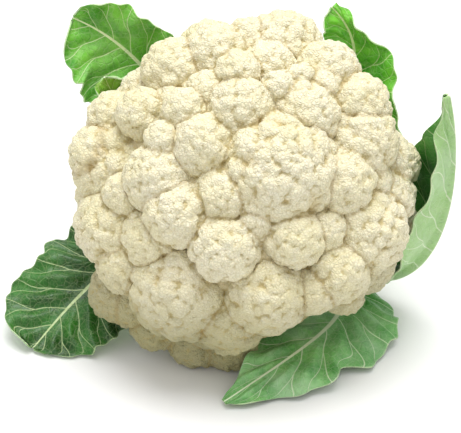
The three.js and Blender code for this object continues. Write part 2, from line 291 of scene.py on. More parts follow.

# %% [markdown]
# A curd is a crowd of florets on a low dome. The forty-one that give this head its face were read off the
# photograph: place across the face, radius, and how far each is lifted. Placing all by hand would take
# long and scattering them would leave gaps, so the rest of the dome is filled by a rule that always adds
# the largest floret that still fits. Two bare spots, where this head is cut back, get none. The CAD
# source has the same lists and rule.

# %% Where the florets sit
SEAT = 0.85
CROWDING = 0.8
FILL_LARGEST = 15.0
FILL_SMALLEST = 9.0
FILL_PLACES = 900
FILL_POLAR_END = 108
SQUARENESS = 7.0
GOLDEN_TURN = math.pi * (3 - math.sqrt(5))
LEAD_FLORETS = np.array([
    [15.6, 6.2, 26, 3], [-3.1, 36.9, 14.5, 0], [29.1, 34.8, 15, 0], [57.7, 22.9, 17.5, 2],
    [-22.9, 18.2, 13.5, 0], [-45.2, 2.1, 15, 1], [-42.6, 20.8, 8.5, 0], [-32.2, 36.4, 9.5, 0],
    [-70.2, 13, 20, 0], [-77, 16.5, 14, 10], [-54.6, 36.4, 11, 0], [-35.9, -16.1, 14.5, 1],
    [-68.6, -20.8, 19, 0], [-12, -33.8, 14.5, 2], [23.4, -29.1, 12.5, 0], [9.9, -56.2, 18, 1],
    [-34.8, -52, 24, 0], [-28, -79, 13, -8], [-10, -80, 14, -9], [-48, -70, 13, -6],
    [-4.7, 55.6, 10, 0], [15.1, 47.3, 7.5, 0], [38.5, 49.4, 8.5, 0], [27, 53.6, 6, 0],
    [53.6, 47.8, 10, 0], [57, 41, 14, 8], [61.4, -23.4, 19, 2], [45.8, -44.2, 15, 0],
    [73, -5.2, 13, -6], [76.4, 12.4, 12, -4], [-16.6, 67.6, 14, 0], [-37.4, 59.8, 15, 0],
    [19.4, 73.9, 17, 8], [42, 58.6, 14, 7], [-69, -55, 13, -4], [33, -54, 11, -3],
    [-62, -40, 14, -2], [-58, -58, 14, -2], [-70, 36, 12, 0], [0, 76, 11, -2],
    [50, -56, 9, -8],
])
BARE_SPOTS = [(34, -76, 36), (80, 38, 18)]


def seat_florets(rows):
    """Centres on the dome and radii, from rows of place, radius and lift."""
    x, y, radius, lift = rows.T
    share = np.minimum(1, np.hypot(x, y) / (HEAD_RADIUS - SEAT * radius))
    z = (CROWN_RISE - SEAT * radius) * np.sqrt(1 - share ** 2) + lift
    return np.stack([x, y, z], 1), radius


def fill_gaps(centres, radii, count, polar_end, smallest, largest, crowding, sunk_spots=0.0):
    """Adds the largest floret that fits on the shell, until only small gaps are left.

    Bare spots get none, or get theirs on a shell sunk to this share.
    """
    steps = np.arange(count)
    up = 1 - (1 - math.cos(math.radians(polar_end))) * (steps + 0.5) / count
    around = steps * GOLDEN_TURN
    inset = FILL_LARGEST - 1
    flat = np.sqrt(1 - up ** 2) * (HEAD_RADIUS - inset - SQUARENESS * np.sin(2 * around) ** 2)
    tall = np.where(up > 0, CROWN_RISE - inset, UNDER_DEPTH - inset)
    places = np.stack([flat * np.cos(around), flat * np.sin(around), up * tall], 1)
    for x, y, radius in BARE_SPOTS:
        bare = np.hypot(places[:, 0] - x, places[:, 1] - y) < radius
        places = np.vstack([places[~bare], places[bare] * sunk_spots]) if sunk_spots else places[~bare]
    while True:
        far = np.linalg.norm(places[:, None] - centres[None], axis=2)
        room = np.minimum(largest, (far / crowding - radii).min(1))
        best = int(room.argmax())
        if room[best] < smallest:
            return centres, radii
        centres = np.vstack([centres, places[best]])
        radii = np.append(radii, room[best])


floret_centres, floret_radii = fill_gaps(
    *seat_florets(LEAD_FLORETS), FILL_PLACES, FILL_POLAR_END, FILL_SMALLEST, FILL_LARGEST, CROWDING,
)
print(len(floret_radii), "florets")

# %% [markdown]
# The visible florets press on each other, so here each is a little wider than its solid, with its top kept
# in place, and the gaps that are left get small florets of their own. On the bare spots those sit on a
# shell that is sunk below the dome.

# %% Crowded florets
CROWD_GROWTH = 1.27
GAP_PLACES = 2500
GAP_POLAR_END = 104
GAP_SMALLEST = 4.2
GAP_LARGEST = 10.0
GAP_CROWDING = 0.92
SUNK_SHELL = 0.84
FAN_POINT = np.array([0, 0, -40.0])


def outward(centres):
    """The way each floret looks: away from a point well below the crown."""
    way = centres - FAN_POINT
    return way / np.linalg.norm(way, axis=1, keepdims=True)


crowd_radii = floret_radii * CROWD_GROWTH
crowd_centres = floret_centres - outward(floret_centres) * (crowd_radii - floret_radii)[:, None]
crowd_centres, crowd_radii = fill_gaps(
    crowd_centres, crowd_radii, GAP_PLACES, GAP_POLAR_END,
    GAP_SMALLEST, GAP_LARGEST, GAP_CROWDING, SUNK_SHELL,
)
crowd_axes = outward(crowd_centres)
print(len(crowd_radii), "florets with those in the gaps")

# %% [markdown]
# A floret repeats the plan of the whole head: lobes stand on it in a spiral of golden turns, small at its
# middle and larger towards its foot, and each lobe carries smaller buds in the same way. One ball is
# modelled, and the rule stamps copies of it as bodies and lobes. A seeded draw makes each a little uneven,
# and lobes and buds that would be buried in another floret are left out.

# %% One ball, stamped as bodies and lobes
LOBES_PER_MM = 2.2
BUDS_PER_MM = 2.6
FEWEST = 6
BODY_SHARE = 0.91
LOBE_SHARE = 0.9
BUD_LEAN = 0.5
SPIRAL_POWER = 0.92
SPIRAL_FILL = 0.8
SPIRAL_LARGEST = 0.5
FULL_TURN = 6.28
chance = np.random.default_rng(7)

bpy.ops.object.select_all(action="DESELECT")
bpy.ops.mesh.primitive_ico_sphere_add(subdivisions=2, radius=1)
ball = bpy.context.object
ball_points = np.array([v.co for v in ball.data.vertices])
ball_faces = np.array([p.vertices for p in ball.data.polygons])
bpy.ops.object.delete()


def square_to(axis):
    """Two directions square to an axis and to each other."""
    helper = np.array([1.0, 0, 0]) if abs(axis[0]) < 0.8 else np.array([0, 1.0, 0])
    first = np.cross(axis, helper)
    first /= np.linalg.norm(first)
    return first, np.cross(axis, first)


def spiral(centre, radius, axis, count, reach, smallest, proud, uneven):
    """Directions, centres and radii of balls in a spiral of golden turns on a larger ball."""
    side, other = square_to(axis)
    share = (np.arange(count) + 0.5) / count
    lean = reach * share ** SPIRAL_POWER + chance.normal(0, 0.03, count)
    around = np.arange(count) * GOLDEN_TURN + chance.uniform(0, FULL_TURN) + chance.normal(0, 0.12, count)
    step = reach * SPIRAL_POWER * share ** (SPIRAL_POWER - 1) / count
    size = SPIRAL_FILL * radius * np.sqrt(2 * math.pi * np.abs(np.sin(lean)) * step)
    size = np.clip(size * chance.uniform(1 - uneven, 1 + uneven, count), smallest, SPIRAL_LARGEST * radius)
    ring = np.sin(lean)[:, None]
    out = np.cos(lean)[:, None] * axis + ring * np.cos(around)[:, None] * side
    out += ring * np.sin(around)[:, None] * other
    rise = radius * chance.uniform(proud - 0.03, proud + 0.03, count) - size
    return out, centre + out * rise[:, None], size


def outside_others(places, sizes, own):
    """True for the balls whose top isn't buried in another floret."""
    far = np.linalg.norm(places[:, None] - crowd_centres[None], axis=2) - crowd_radii
    far[:, own] = np.inf
    return far.min(1) + sizes > 0


def floret_balls(own):
    """Centres and radii of the balls of one floret, its body first."""
    centre, radius, axis = crowd_centres[own], crowd_radii[own], crowd_axes[own]
    places, sizes = [centre[None]], [np.array([BODY_SHARE * radius])]
    count = max(FEWEST, int(LOBES_PER_MM * radius))
    lobes = spiral(centre, radius, axis, count, reach=2.05, smallest=1.6, proud=1.0, uneven=0.2)
    keep = outside_others(lobes[1], lobes[2], own)
    for out, place, size in zip(*[part[keep] for part in lobes]):
        places.append(place[None])
        sizes.append(np.array([LOBE_SHARE * size]))
        lean = out + BUD_LEAN * axis
        lean /= np.linalg.norm(lean)
        count = max(FEWEST, int(BUDS_PER_MM * size))
        buds = spiral(place, size, lean, count, reach=1.5, smallest=1.2, proud=1.03, uneven=0.22)
        seen = outside_others(buds[1], buds[2], own)
        places.append(buds[1][seen])
        sizes.append(buds[2][seen])
    return np.vstack(places), np.concatenate(sizes)


balls = [floret_balls(i) for i in range(len(crowd_radii))]
print(sum(len(sizes) for _, sizes in balls), "balls")

# %% [markdown]
# Some meshes of this plant are worked out in numpy, because a rule places their points, and some start from
# a primitive. Both kinds are then finished with modifiers, and both may keep numbers on their vertices for
# the material. These helpers do that.

# %% Mesh helpers


def piece_from(name, points, faces):
    """A new object with this mesh, active and the only one selected. Points are metres."""
    mesh = bpy.data.meshes.new(name)
    mesh.from_pydata(points, [], faces)
    piece = bpy.data.objects.new(name, mesh)
    bpy.context.scene.collection.objects.link(piece)
    bpy.ops.object.select_all(action="DESELECT")
    piece.select_set(True)
    bpy.context.view_layer.objects.active = piece
    return piece


def apply_modifier(piece, kind, **settings):
    """Adds a modifier with these settings and applies it."""
    modifier = piece.modifiers.new(kind.lower(), kind)
    for name, value in settings.items():
        setattr(modifier, name, value)
    bpy.ops.object.modifier_apply(modifier=modifier.name)


def points_of(piece):
    """The vertices of a piece as rows, in metres."""
    flat = np.zeros(len(piece.data.vertices) * 3)
    piece.data.vertices.foreach_get("co", flat)
    return flat.reshape(-1, 3)


def set_points(piece, points):
    """Moves the vertices of a piece to these points, in metres."""
    piece.data.vertices.foreach_set("co", np.ascontiguousarray(points, dtype=np.float32).ravel())
    piece.data.update()


def mark(piece, name, values):
    """Keeps one number for each vertex, for the material to read."""
    layer = piece.data.attributes.new(name, "FLOAT", "POINT")
    layer.data.foreach_set("value", np.ascontiguousarray(values, dtype=np.float32))


def rest_on_table(piece, floor=0.0):
    """Lifts what lies lower than this height in metres to it, and gives back all points."""
    points = points_of(piece)
    points[:, 2] = np.maximum(points[:, 2], floor)
    set_points(piece, points)
    return points


print("the ball to stamp has", len(ball_points), "points and", len(ball_faces), "faces")

# %% [markdown]
# The stamped balls of neighbouring florets are joined and skinned: a voxel Remesh turns them into one
# closed surface, as a sculptor would fuse clay balls. Two Displace modifiers with cell textures then press
# in the valleys between buds and between grains, which are too many to stamp. The head is skinned in parts,
# the crown and sectors round it, so that each keeps a handy number of faces. Parts overlap out of sight.

# %% Skinning
VOXEL = 0.62 * MM
BUD_SPACING, BUD_RELIEF = 4.6, 1.2
GRAIN_SPACING, GRAIN_RELIEF = 1.9, 0.55
CELL_MIDDLE = 0.4
CROWN_EDGE = 42
SECTORS = {
    "right": 0, "upper_right": 52, "upper": 103, "upper_left": 154,
    "left": 206, "lower_left": 257, "lower_right": 309,
}


def stamped(places, sizes):
    """Points and faces of copies of the ball at these places and sizes."""
    points = (ball_points[None] * sizes[:, None, None] + places[:, None]).reshape(-1, 3)
    faces = (ball_faces[None] + len(ball_points) * np.arange(len(sizes))[:, None, None]).reshape(-1, 3)
    return points, faces


def cell_texture(name, spacing):
    """Cells this far apart in millimetres, with round middles and sharp valleys between them."""
    texture = bpy.data.textures.new(name, "VORONOI")
    texture.noise_scale = spacing * MM
    texture.distance_metric = "DISTANCE_SQUARED"
    return texture


def press_in(piece, cells, depth):
    """Presses the valleys of a cell texture into a piece, to this depth in millimetres."""
    apply_modifier(piece, "DISPLACE", texture=cells, strength=-depth * MM, mid_level=CELL_MIDDLE)


bud_cells = cell_texture("bud_cells", BUD_SPACING)
grain_cells = cell_texture("grain_cells", GRAIN_SPACING)


def skin(name, members):
    """One closed part of the curd from the florets of these numbers."""
    places = np.vstack([balls[i][0] for i in members])
    sizes = np.concatenate([balls[i][1] for i in members])
    points, faces = stamped(on_table(places), sizes)
    part = piece_from(name, points * MM, faces)
    apply_modifier(part, "REMESH", mode="VOXEL", voxel_size=VOXEL, use_smooth_shade=True)
    apply_modifier(part, "SMOOTH", factor=0.4, iterations=1)
    press_in(part, bud_cells, BUD_RELIEF)
    press_in(part, grain_cells, GRAIN_RELIEF)
    rest_on_table(part)
    return part


around_head = np.degrees(np.arctan2(crowd_centres[:, 1], crowd_centres[:, 0])) % 360
off_axis = np.hypot(crowd_centres[:, 0], crowd_centres[:, 1])
offsets = np.abs((around_head[:, None] - np.array(list(SECTORS.values())) + 180) % 360 - 180)
sectors = {"curd_crown": np.flatnonzero(off_axis < CROWN_EDGE)}
for k, place in enumerate(SECTORS):
    sectors["curd_" + place] = np.flatnonzero((offsets.argmin(1) == k) & (off_axis >= CROWN_EDGE))

curd_parts = []
for name, members in sectors.items():
    part = skin(name, members)
    curd_parts.append(part)
    print(name, len(members), "florets", len(part.data.polygons), "faces")

# %% [markdown]
# The curd's colour gets painted shade where a place lies deep: between two florets, sunk below them, or in
# a hollow between buds, with some real browning between florets too. A material sees only one point at a
# time and can't tell these apart, so they are worked out here. The gap between florets comes from the
# distances to the two nearest ones, and a hollow is where the surface lies below a smoothed copy of itself.

# %% Marking the creases
CREASE_WIDTH = 3.2
SUNK_DEEP, SUNK_FLUSH = -5.0, -0.5
HOLLOW_ROUNDS = 14
HOLLOW_DEEP = 0.5
NEAR = 6


def in_head(points):
    """Points of the table's frame in metres as points of the head's frame in millimetres."""
    return (points / MM - HEAD_CENTRE) @ HEAD_TURN


def smooth_step(values, start, end):
    """0 up to start and 1 from end on, eased between them."""
    share = np.clip((values - start) / (end - start), 0, 1)
    return share * share * (3 - 2 * share)


def hollows(piece, rounds):
    """How far each vertex lies below the smoothed surface, in millimetres."""
    points = points_of(piece) / MM
    count = len(points)
    edges = np.zeros(len(piece.data.edges) * 2, dtype=np.int32)
    piece.data.edges.foreach_get("vertices", edges)
    a, b = edges.reshape(-1, 2).T
    ends, others = np.concatenate([a, b]), np.concatenate([b, a])
    links = np.maximum(np.bincount(ends, minlength=count), 1)
    calm = points.copy()
    for _ in range(rounds):
        calm = np.stack([np.bincount(ends, calm[others, k], count) / links for k in range(3)], 1)
    normals = np.zeros(count * 3)
    piece.data.vertices.foreach_get("normal", normals)
    return ((calm - points) * normals.reshape(-1, 3)).sum(1)


def mark_creases(part):
    """Marks how deep the surface lies between florets, between lobes and between buds."""
    spots = in_head(points_of(part))
    low, high = spots.min(0) - NEAR, spots.max(0) + NEAR
    reach = crowd_radii[:, None]
    near = ((crowd_centres + reach > low) & (crowd_centres - reach < high)).all(1)
    florets = zip(crowd_centres[near], crowd_radii[near])
    above = np.stack([np.linalg.norm(spots - c, axis=1) - r for c, r in florets]).astype(np.float32)
    lowest = np.partition(above, 1, axis=0)
    between = 1 - smooth_step(lowest[1] - lowest[0], 0.0, CREASE_WIDTH)
    sunk = 1 - smooth_step(lowest[0], SUNK_DEEP, SUNK_FLUSH)
    mark(part, "floret_crease", between * (0.6 + 0.4 * sunk))
    mark(part, "sunk", sunk)
    mark(part, "hollow", smooth_step(hollows(part, HOLLOW_ROUNDS), 0.0, HOLLOW_DEEP))


for part in curd_parts:
    mark_creases(part)
    print(part.name, "marked on", len(part.data.vertices), "points")

# %% [markdown]
# Between the florets one can look down to the bed that they grow from. A ball with many faces is added,
# squashed to the dome a little below the florets and grained, so that no gap ends in the dark. It is all
# one crease, so its marks, and the painted shade that they bring, are the same all over, apart from the
# hollows of its grain.

# %% The bed below the florets
BED_DEPTH = 11.0
BED_RIM = 4
BED_UNDER = 6
BED_SPACING, BED_RELIEF = 4.5, 2.0
BED_CREASE, BED_SUNK = 0.45, 0.6
BED_ROUNDS = 10
BED_HOLLOW = 0.4
bpy.ops.object.select_all(action="DESELECT")
bpy.ops.mesh.primitive_ico_sphere_add(subdivisions=7, radius=1)
bed = bpy.context.object
bed.name = "curd_bed"
dome = points_of(bed)
tall = np.where(dome[:, 2] > 0, CROWN_RISE - BED_DEPTH, UNDER_DEPTH - BED_DEPTH - BED_UNDER)
around = np.arctan2(dome[:, 1], dome[:, 0])
spread = HEAD_RADIUS - BED_DEPTH - BED_RIM - SQUARENESS * np.sin(2 * around) ** 2
dome = np.stack([dome[:, 0] * spread, dome[:, 1] * spread, dome[:, 2] * tall], 1)
set_points(bed, on_table(dome) * MM)
press_in(bed, cell_texture("bed_cells", BED_SPACING), BED_RELIEF)
bpy.ops.object.shade_smooth()
# These marks paint the bed with the curd's crease and sunk shade all over.
mark(bed, "floret_crease", np.full(len(dome), BED_CREASE))
mark(bed, "sunk", np.full(len(dome), BED_SUNK))
mark(bed, "hollow", smooth_step(hollows(bed, BED_ROUNDS), 0.0, BED_HOLLOW))
curd_parts.append(bed)
print("bed", len(bed.data.polygons), "faces")

# %% [markdown]
# Curd is cream, nearly white where it is closed and dry. Towards the table it is painted duller and
# greener:
# painted shade, on top of a greener tone that the underside has of itself. Brown-yellow is painted into the
# hollows between buds, the places sunk below the florets and the gaps between florets: painted shade, with
# some real browning in those gaps. The marks on the mesh say where that is. Light goes a little way into
# curd, so it gets some subsurface scattering. Tiny cells draw the finest grain as a bump and as dark lines,
# which are painted shade in the crevices between grains.

# %% Curd finish
curd_finish, spot, shader = new_finish("curd_cream")
crease = spot.attribute("floret_crease")
sunk = spot.attribute("sunk")
hollow = spot.attribute("hollow")
patches = spot.noise(0.035, 2)
specks = spot.noise(0.006, 3)
above_table = spot.make("ShaderNodeSeparateXYZ", None, {0: spot}, output=2)
cream = patches.fade(0.35, 0.7).tint(colour_of("ece5c8"), colour_of("e8e0ba"))
cream = (specks.fade(0.45, 0.75) * 0.4).tint(cream, colour_of("f1ecd8"))
# Painted shade: darker and greener towards the table, over the underside's own greener tone.
cream = (above_table.fade(0.08, 0.02) * 0.8).tint(cream, colour_of("918d5c"))
grains = spot.cells(0.0017)
# Painted shade: dark lines in the crevices between the finest grains.
cream = (grains.fade(0.13, 0.0) * 0.36).tint(cream, colour_of("bdb07c"))
# Painted shade in the hollows between buds.
hollow_shaded = (hollow * 0.65).tint(cream, colour_of("b5a366"))
# Painted shade where the surface is sunk below the florets.
hollow_shaded = (sunk * (0.35 + 0.5 * specks)).tint(hollow_shaded, colour_of("c9b27a"))
# Painted shade at the bottom of the gaps between florets, with some real browning.
crease_shaded = crease.fade(0.35, 1.0).tint(hollow_shaded, colour_of("9f7f3d"))
feed(shader, Base_Color=crease_shaded, Roughness=0.55 + 0.15 * specks)
feed(shader, Normal=bumped(grains.fade(0.0, 0.3), 0.0005, 0.7))
let_light_in(shader, 0.1, (1.0, 0.75, 0.45), 0.0015)
shader.inputs["Specular IOR Level"].default_value = 0.3
for part in curd_parts:
    part.data.materials.append(curd_finish)
print("curd finish on", len(curd_parts), "parts")

# %% [markdown]
# Under the florets, the curd is a tree: a short trunk and pale branches that fan out to the rim. It shows
# from behind, between the leaves. Each branch is two tapered bars with a knee between them, from the trunk
# to a floret of the rim or the dome. A Remesh fuses them with the trunk, so the crotches come out rounded,
# which booleans and bevels wouldn't give.

# %% Branches under the curd
BRANCHED_BELOW = 45
TRUNK_TOP, TRUNK_SPREAD = 26.0, 44
FOOT_RISE, FOOT_RADIUS = 8.0, 13
KNEE_SAG = 4.0
TABLE_CLEAR = 0.0002


def on_axis(height):
    """A point of the head's axis."""
    return np.array([0, 0, height])


def tapered_bar(start, end, start_radius, end_radius, sides=14):
    """A closed tapered bar between two points, as points and faces."""
    axis = (end - start) / np.linalg.norm(end - start)
    side, other = square_to(axis)
    angles = 2 * math.pi * np.arange(sides) / sides
    ring = np.cos(angles)[:, None] * side + np.sin(angles)[:, None] * other
    points = np.vstack([start + ring * start_radius, end + ring * end_radius])
    faces = [[k, (k + 1) % sides, sides + (k + 1) % sides, sides + k] for k in range(sides)]
    faces += [list(range(sides))[::-1], list(range(sides, 2 * sides))]
    return points, faces


def fuse(name, bars, voxel, rounds):
    """One closed piece from bars, fused by a Remesh with this voxel in millimetres, and smoothed."""
    points, faces, offset = [], [], 0
    for bar_points, bar_faces in bars:
        points.append(on_table(bar_points) * MM)
        faces += [[index + offset for index in face] for face in bar_faces]
        offset += len(bar_points)
    piece = piece_from(name, np.vstack(points), faces)
    apply_modifier(piece, "REMESH", mode="VOXEL", voxel_size=voxel * MM, use_smooth_shade=True)
    apply_modifier(piece, "SMOOTH", factor=0.5, iterations=rounds)
    return piece


hub = on_axis(STEM_TOP + 2.0)
bars = [tapered_bar(on_axis(STEM_TOP), on_axis(TRUNK_TOP), STEM_RADIUS + 1.5, TRUNK_SPREAD, 40)]
for centre, radius in zip(floret_centres, floret_radii):
    if centre[2] < BRANCHED_BELOW:
        knee = hub + (centre - hub) * 0.5 + on_axis(-KNEE_SAG)
        bars.append(tapered_bar(hub + on_axis(FOOT_RISE), knee, FOOT_RADIUS, 0.55 * radius))
        bars.append(tapered_bar(knee, centre, 0.58 * radius, 0.8 * radius))
branches = fuse("curd_branches", bars, 1.3, 10)
rest_on_table(branches, TABLE_CLEAR)
print("branches", len(branches.data.polygons), "faces")

# %% [markdown]
# The branches and the stem share a finish: pale green-white flesh with fine fibres, a little greener than
# the curd. Where the stem's mesh is marked as cut, it shows pale pith inside a greener ring.

# %% Stalk finish


def stalk_finish(name, pale, green):
    """Flesh between these two colours, with pith on the cut faces."""
    material, spot, shader = new_finish(name)
    patches = spot.noise(0.02, 3)
    fibre = spot.noise(0.0022, 4, 0.6)
    body = patches.fade(0.3, 0.75).tint(colour_of(pale), colour_of(green))
    body = (fibre.fade(0.5, 0.8) * 0.35).tint(body, colour_of("f1f0d8"))
    pith = spot.attribute("ring").fade(0.86, 0.66).tint(colour_of("c3cf92"), colour_of("eef0d8"))
    pith = (spot.noise(0.0018, 2).fade(0.52, 0.7) * 0.4).tint(pith, colour_of("a9b678"))
    body = spot.attribute("cut").tint(body, pith)
    feed(shader, Base_Color=body, Roughness=0.42 + 0.2 * fibre, Normal=bumped(fibre, 0.0004, 0.5))
    let_light_in(shader, 0.15, (0.8, 1.0, 0.4), 0.003)
    return material


branches.data.materials.append(stalk_finish("branch_pale_green", "e6e6c2", "ccd6a0"))
print("branch finish made")

# %% [markdown]
# The stem is a short stump, cut square, with the stubs of leaves that were trimmed away. A cylinder with
# extruded stubs would show a seam at each of them, so stump and stubs are tapered bars fused by a Remesh,
# as the branches are. A cloudy Displace takes off the regular look, and the cut faces are marked for the
# finish.

# %% Stem
STUBS = [(98, -84), (26, -80), (240, -80), (275, -87)]
STUB_SUNK, STUB_DROP = 4, 5
STUB_REACH, STUB_CLIMB = 16, 9
STUB_RADII = (8.5, 6.0)
STUB_FACE = 8
STUB_CUT = (-1.6, -0.8)
STEM_CUT = (1.2, 2.2)
STEM_CHAMFER = 3.0
SWELL_SIZE, SWELL = 9, 1.6


def around_axis(angle, radius, height):
    """A point at this angle and distance round the head's axis."""
    turn = math.radians(angle)
    return np.array([radius * math.cos(turn), radius * math.sin(turn), height])


rim = STEM_END + STEM_CHAMFER
bars = [
    tapered_bar(on_axis(STEM_END), on_axis(rim), STEM_RADIUS - STEM_CHAMFER, STEM_RADIUS, 48),
    tapered_bar(on_axis(rim), on_axis(STEM_TOP), STEM_RADIUS, STEM_RADIUS + 1, 48),
]
stub_ends = []
for angle, height in STUBS:
    foot = around_axis(angle, STEM_RADIUS - STUB_SUNK, height - STUB_DROP)
    end = around_axis(angle, STEM_RADIUS + STUB_REACH, height + STUB_CLIMB)
    bars.append(tapered_bar(foot, end, *STUB_RADII, 20))
    stub_ends.append((end, (end - foot) / np.linalg.norm(end - foot)))
stem = fuse("stem_stump", bars, 0.9, 6)
swell = bpy.data.textures.new("stem_swell", "CLOUDS")
swell.noise_scale = SWELL_SIZE * MM
apply_modifier(stem, "DISPLACE", texture=swell, strength=SWELL * MM, mid_level=0.5)
spots = in_head(rest_on_table(stem))
cut = 1 - smooth_step(spots[:, 2] - STEM_END, *STEM_CUT)
for end, way in stub_ends:
    near = np.linalg.norm(spots - end, axis=1) < STUB_FACE
    cut = np.maximum(cut, near * smooth_step((spots - end) @ way, *STUB_CUT))
mark(stem, "cut", cut)
mark(stem, "ring", np.hypot(spots[:, 0], spots[:, 1]) / STEM_RADIUS)
stem.data.materials.append(stalk_finish("stem_green", "dbe0b2", "b9c98a"))
print("stem", len(stem.data.polygons), "faces")

# %% [markdown]
# A leaf is a blade on a bent midrib. The midrib is a Bezier curve from the stem; across it, the blade leans
# up by its cup and curls on towards its margin, which is waved. The CAD solid comes from the same kind of
# numbers, with a few widths and one notch a little different. The piece here has a far finer grid, so it
# also gets side veins with forks, blade quilted up between them, a toothed margin and a thin edge. Widths
# and places were read off the photograph. Each half of a blade has its width and two powers that say
# how it widens and narrows, and a notch has its side, its place along the midrib, its depth and its span.

# %% Leaf numbers
RIB_HALF = 9.0
RIB_DEPTH = 8.0
RIB_TIP = 0.12
RIB_TAPER = 0.85
RIB_MARGIN = 1.0
BLADE = 0.8
QUILT = 1.8
LEAVES = {
    "leaf_upper_left": dict(
        root=(136, -68), path=[(-40, 68, 84), (-50, 62, 128), (-91, 56, 151)],
        face=[(0.3, -0.8, 0.5), (0.2, -0.95, 0.3)], start=0.12, cup=8, curl=14,
        right=(18, 0.5, 0.34), left=(32, 0.5, 0.34), waves=5, height=3, shift=0.2,
    ),
    "leaf_young_left": dict(
        root=(168, -54), path=[(-44, 48, 73), (-67, 43, 98), (-74, 35, 127)],
        face=[(0.3, -0.8, 0.5), (0.3, -0.9, 0.4)], start=0.45, cup=14, curl=20,
        right=(13, 0.6, 0.4), left=(11, 0.6, 0.4), waves=6, height=1, shift=0.1, rib=0.5,
    ),
    "leaf_upper_right": dict(
        root=(62, -68), path=[(50, 70, 80), (74, 62, 122), (45, 66, 152)],
        face=[(-0.2, -0.8, 0.5), (-0.3, -0.9, 0.3)], start=0.05, cup=6, curl=20,
        right=(41, 0.6, 1.6), left=(11, 0.9, 0.3), waves=4, height=4, shift=0.6,
    ),
    "leaf_right": dict(
        root=(-10, -62), path=[(94, 2, -30), (115, -8, 74), (99, -12, 144)],
        face=[(-0.6, 0, 0.8), (-1, 0, 0)], start=0.24, cup=34, curl=18,
        right=(32, 0.5, 1.2), left=(30, 0.6, 0.25), waves=4, height=3, shift=0.3,
        notch=(-1, 1, 0.9, 0.18), pressed=True,
    ),
    "leaf_lower_right": dict(
        root=(-50, -72), path=[(76, 24, -10), (58, -38, 30), (-12, -79, 3)],
        face=[(0, 0.2, 1), (0.1, -0.3, 1)], start=0.27, cup=-4, curl=-10,
        right=(36, 0.6, 1.2), left=(28, 0.8, 0.95), waves=4, height=3, shift=0.4,
        notch=(-1, 0.73, 0.3, 0.035), quilt=3.0,
    ),
    "leaf_lower_left": dict(
        root=(203, -64), path=[(-55, 26, 36), (-82, -2, 28), (-113, -34, 2)],
        face=[(0, -0.3, 1), (-0.2, -0.7, 0.7)], start=0.34, cup=4, curl=-10,
        right=(32, 0.6, 0.36), left=(27, 0.6, 0.36), waves=4, height=3, shift=0.1,
        notch=(1, 0.74, 0.2, 0.05), quilt=4.0,
    ),
}


def unit(vectors):
    """Rows of vectors, each with the length 1."""
    return vectors / np.linalg.norm(vectors, axis=1, keepdims=True)


def midrib(leaf, along):
    """Points and directions of the midrib at these shares of its way."""
    stem_side = on_table(around_axis(leaf["root"][0], STEM_RADIUS - 1, leaf["root"][1]))
    under_head = np.array([HEAD_CENTRE[0], HEAD_CENTRE[1], 0])
    a, b, c, d = [stem_side] + [np.array(p, float) + under_head for p in leaf["path"]]
    t = along[:, None]
    u = 1 - t
    points = u ** 3 * a + 3 * u ** 2 * t * b + 3 * u * t ** 2 * c + t ** 3 * d
    slopes = 3 * u ** 2 * (b - a) + 6 * u * t * (c - b) + 3 * t ** 2 * (d - c)
    return points, unit(slopes)


def half_width(edge, share):
    """Width of the blade beside the rib at a share of the way from its start to its tip."""
    width, rise, fall = edge
    crest = rise / (rise + fall)
    return width * share ** rise * (1 - share) ** fall / (crest ** rise * (1 - crest) ** fall)


for name, leaf in LEAVES.items():
    steps = np.diff(midrib(leaf, np.linspace(0, 1, 60))[0], axis=0)
    print(name, "midrib", round(float(np.linalg.norm(steps, axis=1).sum())), "mm")

# %% [markdown]
# Side veins leave the midrib in turn, left and right, run out towards the tip and fork before the margin.
# Each vertex keeps two numbers for them: which vein it is near, as a running number, and how far out it
# lies. A vein is where the running number is whole, so the material can draw it as a fine line on any grid.
# Two more numbers give the distance from the midrib and the way along it.

# %% Leaf surface
VEINS = 11.0
VEIN_SPACING = 11.0
VEIN_SWEEP = 0.2
FORK_START = 0.42
FORK_SPREAD = 0.55
TEETH = [(0.035, 58, 1), (0.025, 101, 2)]
RUFFLE = 1.3
RUFFLES_PER_WAVE = 2.7


